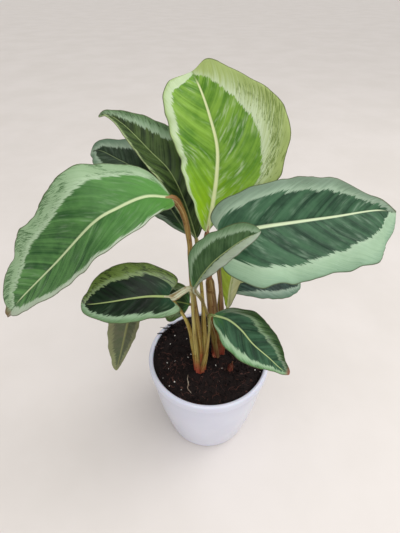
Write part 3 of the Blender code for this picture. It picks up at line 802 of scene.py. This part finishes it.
def blade_point(name, seed, u, v):
    """A point of the blade's upper side in millimetres; v is -1 at the left edge, 1 at the right."""
    row = blade_row(name, u)
    look = look_of(name)
    length = midrib_of(name)[1]
    side = "left" if v < 0 else "right"
    half = copysign(1, v)
    ends = 4 * u * (1 - u)

    # The edge: quick ruffles and slow lumps
    quick = noise_at(u * length / 9, half * 3, seed)
    slow = noise_at(u * length / 17, half * 5, seed + 3)
    lumps = look["lumps"][0 if v < 0 else 1]
    width = row.width[side] + (look["ruffle"] * 1.2 * quick + lumps * slow) * min(ends * 2, 1)
    reach = abs(v) * (max(width, 0) * v * v + row.width[side] * (1 - v * v) + BLADE_EDGE)

    # The surface: even waves, ruffles, a pleat along each side vein, and a channel at the midrib
    height, waves = LEAVES[name].get("wave", (0, 0))
    lift = height * v * v * sin(2 * pi * waves * u + (1.3 if v > 0 else 0)) * ends
    curl = noise_at(u * length / 13, half * 9, seed)
    lift += look["ruffle"] * 1.5 * abs(v)**3 * ends * curl
    vein = vein_at(length, u, reach, v)
    wander = 0.6 * noise_at(vein / 20, 0, seed)
    pleat = sin(2 * pi * (vein / FOLD_PERIOD + wander))
    lift += FOLD_HEIGHT * pleat * ends * smooth_step(0, 0.25, abs(v)) * (1 - 0.5 * v * v)
    lift -= 0.5 * exp(-(reach / 1.3) ** 2) * (1 - u)

    drawn = look["tail"] * smooth_step(0.99, 1, u) - look["notch"] * smooth_step(0.95, 1, u)
    return (row.place + row.across * copysign(reach * cos(row.fold[side]), v)
            + row.up * (reach * sin(row.fold[side]) + lift)
            + row.along * (v * v * row.shift + drawn))


def make_blade(name, seed):
    """A blade with two sides. Each of its points says, in millimetres:
    vein    which side vein it is on
    rib     how far it is from the midrib
    centre  how far it is inside the dark centre
    edge    how far it is from the blade's edge
    and along, 0 at the stem and 1 at the tip, and side, -1 at the left edge and 1 at the right."""
    look = look_of(name)
    length = midrib_of(name)[1]
    bm = bmesh.new()
    rows = min(max(round(length * 0.85), BLADE_ROWS[0]), BLADE_ROWS[1])
    bmesh.ops.create_grid(bm, x_segments=BLADE_COLUMNS, y_segments=rows, size=1)
    layers = [bm.verts.layers.float.new(key) for key in BLADE_SAYS]
    tops = list(bm.verts)
    thickness = {}
    for vert in tops:
        u = 0.5 * (1 + sin(0.5 * pi * vert.co.y))
        v = copysign(abs(vert.co.x) ** COLUMN_CROWD, vert.co.x)
        side = "left" if v < 0 else "right"
        width = blade_row(name, u).width[side] + BLADE_EDGE
        reach = abs(v) * width
        share = min(through_stations(look[f"centre_{side}"], u), 0.95) * smooth_step(0.985, 0.9, u)
        says = (vein_at(length, u, reach, v), reach, (share - abs(v)) * width,
                (1 - abs(v)) * width, u, v)
        for layer, value in zip(layers, says):
            vert[layer] = value
        at_rib = 1.5 * (1 - u) ** 0.7 * exp(-(reach / 1.4) ** 2)
        thickness[vert] = BLADE_THICKNESS * (1 - 0.4 * v * v) + at_rib
        vert.co = blade_point(name, seed, u, v) * MM
    bm.normal_update()
    faces = list(bm.faces)
    edges = [edge for edge in bm.edges if edge.is_boundary]
    under = {}
    for vert in tops:
        twin = bm.verts.new(vert.co - vert.normal * thickness[vert] * MM)
        for layer in layers:
            twin[layer] = vert[layer]
        under[vert] = twin
    for face in faces:
        made = bm.faces.new([under[vert] for vert in reversed(face.verts)])
        made.material_index = 1
    for edge in edges:
        loop = edge.link_loops[0]
        a, b = loop.vert, loop.link_loop_next.vert
        made = bm.faces.new([b, a, under[a], under[b]])
        made.material_index = 0
    new_piece(f"blade_{name}", bm, f"leaf_{name}", "leaf", leaf_top(name, seed), leaf_under(name, seed))


# ---------------------------------------------------------------- stems, crowns and shoot

def tube(route, radius, faces, count=72, sides=20):
    """A closed stem along a route. radius(t, turn) is in millimetres, and turn 0 looks along faces."""
    trail = even_steps(route, count)
    bm = bmesh.new()
    along_layer = bm.verts.layers.float.new("along")
    turn_layer = bm.verts.layers.float.new("turn")

    def point(place, t):
        vert = bm.verts.new(place * MM)
        vert[along_layer] = t
        return vert

    rings = []
    for k, (place, ahead, aside) in enumerate(frames(trail, Vector(faces))):
        t = k / (count - 1)
        rings.append([])
        for s, turn in enumerate(turns(sides)):
            out = ahead * cos(turn) + aside * sin(turn)
            vert = point(place + out * radius(t, turn), t)
            vert[turn_layer] = sin(turn) * (1 if s % 2 else STREAK_WAVER)
            rings[-1].append(vert)
    skin(bm, [[point(trail[0], 0)], *rings, [point(trail[-1], 1)]])
    return bm


def stem_foot(crown, bearing):
    """Where a stem stands on its crown."""
    if crown == "sheath":
        return Vector(SHEATH_ROUTE[-1]) - Vector((0, 0, FOOT_RISE))
    ring = 0 if bearing is None else CROWNS[crown]["ring"] * 0.9
    out = Vector((*polar(ring, radians(bearing or 0)), STEM_FOOT - 2))
    return out + Vector((*CROWNS[crown]["centre"], 0))


def make_stem(name, leaf, seed):
    """A stem: a clasping sheath below, a bare stalk above, and a thicker joint under the blade."""
    crown, bearing, route, radii = leaf["stem"]
    foot = stem_foot(crown, bearing)
    midrib = midrib_of(name)[0]
    base = midrib[0]
    onward = (midrib[3] - base).normalized()
    below = -Vector(leaf["faces"][0]).normalized()
    points = [foot, foot + Vector((0, 0, FOOT_RISE)), *route, base - onward * 3 + below * 2,
              base + onward * 5 + below]
    length = sum((Vector(b) - Vector(a)).length for a, b in zip(points, points[1:]))
    joint = 1 - JOINT_BACK / length
    sheath_end = 0.62 if crown != "sheath" else 0.1
    broader = STEM_BROAD.get(name, 1.05) - 1.05

    def radius(t, turn):
        bare = radii[0] + (radii[1] - radii[0]) * t
        bare *= 1.05 + broader * smooth_step(joint - 0.2, joint - 0.04, t)
        sheath = smooth_step(sheath_end, sheath_end - 0.35, t)
        size = bare * (1 + 0.4 * sheath) * (1 + 0.25 * exp(-((t - joint) * length / 4.5) ** 2))
        broad = 1 + (0.08 + 0.22 * sheath) * abs(sin(turn))
        groove = (0.1 + 0.2 * sheath) * exp(-(sin(turn / 2) / 0.22) ** 2)
        taper = 1 - 0.6 * smooth_step(1 - 7 / length, 1, t)
        grain = 1 + 0.05 * noise_at(t * length / 9, turn, seed)
        return size * (broad - groove) * taper * grain

    faces = leaf["faces"][0] if name != "hanging" else (0, -1, 0.3)
    paint = stem_paint(f"stalk_{name}", STEM_LOOKS.get(name, STEM_LOOKS["plain"]),
                       STEM_TOPS.get(name, STEM_TOP))
    new_piece(f"stalk_{name}", tube(points, radius, faces), f"stem_{name}", "stem", paint)


def make_sheath():
    """The broad sheath round the tall leaf's stem, with its overlapping free edge."""
    def radius(t, turn):
        size = 4.6 - 1.6 * t + 0.5 * sin(pi * t)
        lap = 0.45 * smooth_step(-1.2, 0.0, sin(turn - 0.8)) * (1 - 0.5 * t)
        end = smooth_step(1.0, 0.9, t) * 0.75 + 0.25
        return (size + lap) * (1 + 0.16 * abs(sin(turn))) * end

    wrap = tube(SHEATH_ROUTE, radius, (0, -1, 0), sides=32)
    paint = stem_paint("sheath_wrap", STEM_LOOKS["sheath"])
    new_piece("sheath_wrap", wrap, "sheath_right", "stem", paint)


def make_shoot():
    """The rolled new shoot."""
    def radius(t, turn):
        size = 3.0 * (1 - smooth_step(0.55, 1.0, t) * 0.85)
        return size * (1 + 0.12 * sin(turn + 5 * t) + 0.05 * sin(3 * turn))

    spear = tube(SPEAR_ROUTE, radius, (0, -1, 0), count=40)
    new_piece("shoot", spear, "new_shoot", "crown", stem_paint("shoot", STEM_LOOKS["shoot"]))


def rim_of(grid):
    """The points round a grid's rim, in order."""
    right = [line[-1] for line in grid[1:]]
    left = [line[0] for line in grid[-2:0:-1]]
    return [*grid[0], *right, *grid[-1][-2::-1], *left]


def add_scale(bm, crown, bearing, height, half_turn):
    """One clasping scale round a crown: a curved, pointed strip with a thickness."""
    foot = Vector((*crown["centre"], STEM_FOOT - 5))
    radius = crown["radius"] * 0.92
    along, turned = (bm.verts.layers.float[key] for key in ("along", "turn"))
    outer, inner = [], []
    for r in range(SCALE_ROWS + 1):
        t = r / SCALE_ROWS
        narrow = sqrt(max(1 - t ** 2.2, 0.002))
        bulge = radius * (1 + 0.22 * sin(pi * min(t * 1.3, 1)) - 0.3 * t)
        for grid, depth in ((outer, 0), (inner, SCALE_THICKNESS)):
            grid.append([])
            for c in range(SCALE_COLUMNS + 1):
                s = 2 * c / SCALE_COLUMNS - 1
                out = Vector((*polar(bulge - depth, bearing + half_turn * s * narrow), height * t))
                vert = bm.verts.new((foot + out) * MM)
                vert[along] = t * 0.5
                vert[turned] = s
                grid[-1].append(vert)
    for grid in (outer, inner):
        for below, above in zip(grid, grid[1:]):
            for c in range(SCALE_COLUMNS):
                bm.faces.new([below[c], below[c + 1], above[c + 1], above[c]])
    skin(bm, [rim_of(outer), rim_of(inner)])


def make_crown(side, crown):
    """A crown: a swollen foot in the soil, with scales that clasp the stems."""
    def radius(t, turn):
        lumps = 0.08 * sin(3 * turn + 1) + 0.05 * sin(5 * turn)
        shape = 0.55 + 0.55 * sin(pi * (0.15 + 0.75 * t))
        return crown["radius"] * shape * (1 + lumps) * (1 - 0.75 * smooth_step(0.88, 1, t))

    route = [(*crown["centre"], STEM_FOOT + rise) for rise in (-15, -6, 3)]
    bm = tube(route, radius, (0, -1, 0), count=30, sides=32)
    for bearing, height, half_turn in crown["scales"]:
        add_scale(bm, crown, radians(bearing), height, radians(half_turn))
    name = f"crown_foot_{side}"
    new_piece(name, bm, f"crown_{side}", "crown", stem_paint(name, crown["colours"]))


# ---------------------------------------------------------------- pot

def pot_height():
    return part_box("pot")[1].z


def wall_radius(z):
    """Outer radius of the pot's wall under the lip, a cone that swells a little."""
    f = min(z / (pot_height() - LIP_HEIGHT), 1)
    return BASE_RADIUS + (RIM_RADIUS - LIP_DEPTH - BASE_RADIUS) * f + BULGE * sin(pi * f)


def arc(centre, radius, start, end, count):
    """Points of an arc in the profile's plane, angles in degrees."""
    points = []
    for k in range(count + 1):
        x, y = polar(radius, radians(start + (end - start) * k / count))
        points.append((centre[0] + x, centre[1] + y))
    return points


def pot_profile():
    """The pot's outline from the middle of its inside floor, over the lip, to its underside."""
    top = pot_height()
    shoulder = top - LIP_HEIGHT
    heights = [shoulder * k / 16 for k in range(1, 17)]
    heights = [z for z in heights if z > CORNER + FLOOR + MM]
    rim = (LIP_DEPTH + WALL) / 2
    edge = LIP_DEPTH / 2
    inner_corner = (wall_radius(CORNER + FLOOR) - WALL - CORNER, FLOOR + CORNER)
    profile = [(0, FLOOR), (inner_corner[0], FLOOR)]
    profile += arc(inner_corner, CORNER, -75, 0, 5)
    profile += [(wall_radius(z) - WALL, z) for z in heights]
    profile += arc((RIM_RADIUS - rim, top - rim), rim, 180, 0, 12)
    profile += arc((RIM_RADIUS - edge, shoulder + edge), edge, 0, -90, 6)
    ledge = RIM_RADIUS - edge - wall_radius(shoulder)
    for k in range(1, 6):
        out = wall_radius(shoulder) + ledge * (1 - k / 5) ** 2
        profile.append((out, shoulder - LIP_BLEND * k / 5))
    profile += [(wall_radius(z), z) for z in reversed(heights) if z < shoulder - LIP_BLEND - MM]
    foot = wall_radius(CORNER) - CORNER
    profile += arc((foot, CORNER), CORNER, 0, -90, 8)
    profile += [(foot - 3 * MM, 0), (foot - 4 * MM, FOOT_RING), (0, FOOT_RING)]
    return profile


def make_pot():
    bm = bmesh.new()
    skin(bm, [level_ring(bm, radius, lambda x, y: z, POT_STEPS) for radius, z in pot_profile()])
    new_piece("pot_body", bm, "pot", "pot", pot_paint())


# ---------------------------------------------------------------- soil

def from_crown(crown, x, y):
    """How far a place is from the middle of a crown, in metres."""
    return hypot(x - crown["centre"][0] * MM, y - crown["centre"][1] * MM)


def soil_height(x, y):
    """The soil's surface, in metres: slopes, lumps and crumbs, a little higher at the crowns."""
    radius = hypot(x, y)
    z = SOIL_TOP - 0.6 * MM
    for height, width, layer in SOIL_LUMPS:
        z += height * MM * noise_at(x / width, y / width, layer)
    for height, width, layer in SOIL_GRAINS:
        z += height * MM * abs(noise_at(x / width, y / width, layer))
    for crown in CROWNS.values():
        z += 2.5 * MM * exp(-(from_crown(crown, x, y) / (crown["radius"] * MM) / 1.5) ** 2)
    bank = smooth_step(0.3, 0.9, cos(atan2(y, x) - SOIL_BANK_AT)) if radius else 0
    z += SOIL_BANK * bank * smooth_step(0.034, 0.056, radius)
    z -= 2.5 * MM * smooth_step(0.052, 0.0585, radius) * (1 - bank)
    return z


@lru_cache(maxsize=None)
def ball():
    """The points and faces of a ball with radius 1."""
    bm = bmesh.new()
    bmesh.ops.create_icosphere(bm, subdivisions=2, radius=1)
    bm.verts.index_update()
    points = [vert.co.copy() for vert in bm.verts]
    faces = [[vert.index for vert in face.verts] for face in bm.faces]
    bm.free()
    return points, faces


def add_blob(bm, place, size, turn, rough, seed, material):
    """One small lump: a ball pulled out of round."""
    points, faces = ball()
    shift = Vector((seed, seed * 0.7, 0))
    verts = []
    for point in points:
        bumps = 1 + rough * noise.noise(point * 1.7 + shift)
        stretched = Vector([c * s for c, s in zip(point, size)])
        verts.append(bm.verts.new(place + turn @ stretched * bumps))
    for face in faces:
        bm.faces.new([verts[i] for i in face]).material_index = material


def add_fibre(bm, points, radius, material, sides=5):
    """One thin closed thread through the points."""
    rings = []
    for k, (place, ahead, aside) in enumerate(frames(points, Vector((0.3, 0.2, 1)))):
        size = radius * (0.35 + 0.65 * sin(pi * (0.1 + 0.8 * k / (len(points) - 1))))
        rings.append([bm.verts.new(place + (ahead * cos(a) + aside * sin(a)) * size)
                      for a in turns(sides)])
    ends = [bm.faces.new(rings[0][::-1]), bm.faces.new(rings[-1])]
    for face in skin(bm, rings) + ends:
        face.material_index = material


def on_soil(x, y, rise):
    """A point this far above the soil's surface."""
    return Vector((x, y, soil_height(x, y) + rise))


def spot(draw, reach):
    """A random place on the soil, within reach of the pot's axis."""
    return polar(reach * sqrt(draw.random()), draw.uniform(0, 2 * pi))


def tilt(draw, low=0, high=FULL_TURN):
    """A random turn, with the lean between low and high."""
    angles = (draw.uniform(low, high), draw.uniform(low, high), draw.uniform(0, FULL_TURN))
    return Euler(angles).to_matrix()


def scatter(bm, draw, count, size, wide, high, rise, rough, first, material, lean=(), gap=None):
    """One kind of litter, as LITTER says, left out nearer to a crown than the gap."""
    for k in range(count):
        x, y = spot(draw, LITTER_REACH)
        if gap and any(from_crown(c, x, y) < c["radius"] * MM + gap for c in CROWNS.values()):
            continue
        length = draw.uniform(*size) * MM
        radii = (length, length * draw.uniform(*wide), length * draw.uniform(*high))
        place = on_soil(x, y, length * rise[0] + rise[1] * MM)
        add_blob(bm, place, radii, tilt(draw, *lean), rough, first + k, material)


def scatter_fibres(bm, draw):
    """Short bent fibres that lie on the soil, two thirds of them in its front half."""
    for k in range(FIBRES):
        x, y = spot(draw, FIBRE_REACH)
        if k % 3:
            y = -abs(y)
        length = draw.uniform(2.5, 8) * MM
        bearing = draw.uniform(0, 2 * pi)
        bend = draw.uniform(-1.2, 1.2)
        points = []
        for i in range(9):
            f = i / 8
            along, aside = polar(length * f, bearing + bend * f)
            inside = min(FIBRE_LIMIT / hypot(x + along, y + aside), 1)
            lift = 0.3 * MM + 1.1 * MM * sin(pi * f) * draw.random()
            points.append(on_soil((x + along) * inside, (y + aside) * inside, lift))
        if (points[-1] - points[0]).length > 2 * MM:
            add_fibre(bm, points, draw.uniform(0.08, 0.2) * MM, FIBRE)


def pile_up_bank(bm, draw):
    """Where the soil is banked up: loose fibres over the pot's rim, and lumps under them."""
    for k in range(RIM_FIBRES):
        bearing = radians(draw.uniform(*RIM_FIBRE_BEARING))
        reach = draw.uniform(*RIM_FIBRE_REACH) * MM
        start = Vector(polar(0.052, bearing))
        end = Vector(polar(reach, bearing + 0.12))
        over = pot_height() + draw.uniform(0.6, 3.5) * MM
        points = [on_soil(*start, 0), Vector((*start.lerp(end, 0.45), over)), Vector((*end, over))]
        trail = [smooth_through(points, i / 10) for i in range(11)]
        add_fibre(bm, trail, draw.uniform(0.3, 0.8) * MM, EARTH)
        size = draw.uniform(0.8, 1.8) * MM
        add_blob(bm, points[1], (size, size * 0.7, size * 0.6), tilt(draw), 0.6, k + 2500, EARTH)
    for k in range(BANK_LUMPS):
        bearing = SOIL_BANK_AT + draw.uniform(-0.7, 0.7)
        reach = draw.uniform(50, 57) * MM
        size = draw.uniform(0.8, 2.0) * MM
        place = on_soil(*polar(reach, bearing), size * 0.4)
        material = BARK if k % 4 == 3 else EARTH
        add_blob(bm, place, (size, size * 0.7, size * 0.7), tilt(draw), 0.6, k + 3000, material)


def make_soil():
    """The soil: a lumpy top on a plain body, with crumbs, bark, fibres and perlite on it."""
    draw = random.Random(SEED)
    bm = bmesh.new()
    top_radius = wall_radius(SOIL_TOP) - WALL - 0.1 * MM
    rings = [level_ring(bm, top_radius * r / SOIL_RINGS, soil_height, SOIL_STEPS)
             for r in range(SOIL_RINGS + 1)]
    bottom = FLOOR + SOIL_GAP
    for z in (0.08, 0.05, 0.02, bottom):
        radius = min(wall_radius(max(z, CORNER + FLOOR)) - WALL - SOIL_GAP, top_radius)
        if z < CORNER:
            radius -= CORNER
        rings.append(level_ring(bm, radius, lambda x, y: z, SOIL_STEPS))
    rings.append([bm.verts.new((0, 0, bottom))])
    skin(bm, rings)

    for kind in LITTER:
        scatter(bm, draw, **kind)
    scatter_fibres(bm, draw)
    pile_up_bank(bm, draw)
    root = [(-0.021, -0.022, 0), (-0.0215, -0.027, 0), (-0.0205, -0.033, 0), (-0.021, -0.038, 0),
            (-0.0175, -0.043, 0)]
    trail = [smooth_through(root, i / 24) for i in range(25)]
    add_fibre(bm, [on_soil(place.x, place.y, 1.0 * MM) for place in trail], 0.4 * MM, ROOT, sides=8)

    new_piece("soil_bed", bm, "soil", "soil", soil_paint(),
              plain_paint("bark", (38, 22, 19), (82, 46, 36), 0.75, 400),
              plain_paint("perlite", (206, 200, 190), (240, 238, 232), 0.8, 900),
              plain_paint("fibre", (52, 30, 26), (112, 66, 54), 0.75, 300),
              plain_paint("root", (150, 130, 112), (196, 182, 164), 0.6, 300))


# ---------------------------------------------------------------- stage

def make_floor():
    """A plain pale floor, wide enough to fill the view."""
    bm = bmesh.new()
    bmesh.ops.create_circle(bm, cap_ends=True, segments=96, radius=FLOOR_RADIUS)
    mesh = bpy.data.meshes.new("floor")
    bm.to_mesh(mesh)
    bm.free()
    paint = Paint("floor", 0.45)
    soft = paint.noise(paint.place(), 5, 4, 0.6)
    paint.set(Base_Color=paint.mix(paint.step(0.3, 0.7, soft), *FLOOR_TONES))
    mesh.materials.append(paint.material)
    add_object("floor", mesh)


def make_lights():
    """Soft daylight: even light from above, a window at the back right, and a pale sky."""
    daylight = bpy.data.lights.new("daylight", "SUN")
    daylight.energy = SUN_STRENGTH
    daylight.angle = SUN_WIDTH
    daylight.color = SUN_COLOUR
    sun = add_object("daylight", daylight)
    sun.rotation_euler = Vector(SUN_FROM).to_track_quat("Z", "Y").to_euler()
    for name, (place, power, colour) in LAMPS.items():
        light = bpy.data.lights.new(name, "AREA")
        light.shape = "DISK"
        light.size = LAMP_SIZE
        light.energy = power
        light.color = colour
        lamp = add_object(name, light)
        lamp.location = place
        aim = Vector(LAMP_TARGET) - Vector(place)
        lamp.rotation_euler = aim.to_track_quat("-Z", "Y").to_euler()
    world = bpy.data.worlds.new("sky")
    bpy.context.scene.world = world
    world.use_nodes = True
    back = world.node_tree.nodes["Background"]
    back.inputs["Color"].default_value = SKY_COLOUR
    back.inputs["Strength"].default_value = SKY_STRENGTH


def make_camera():
    camera = bpy.data.cameras.new("camera")
    camera.lens = CAMERA_LENS
    camera.sensor_width = 36
    camera.clip_start = 0.01
    camera.clip_end = 60
    eye = add_object("camera", camera)
    eye.location = CAMERA_AT
    eye.rotation_euler = (radians(90 - CAMERA_PITCH), 0, 0)
    bpy.context.scene.camera = eye


def main():
    make_floor()
    make_lights()
    make_camera()
    bpy.context.scene.view_settings.view_transform = "Standard"
    make_pot()
    make_soil()
    for side, crown in CROWNS.items():
        make_crown(side, crown)
    make_sheath()
    make_shoot()
    for k, (name, leaf) in enumerate(LEAVES.items()):
        make_stem(name, leaf, k + 0.37)
        make_blade(name, k * 3.7 + 1.1)


main()
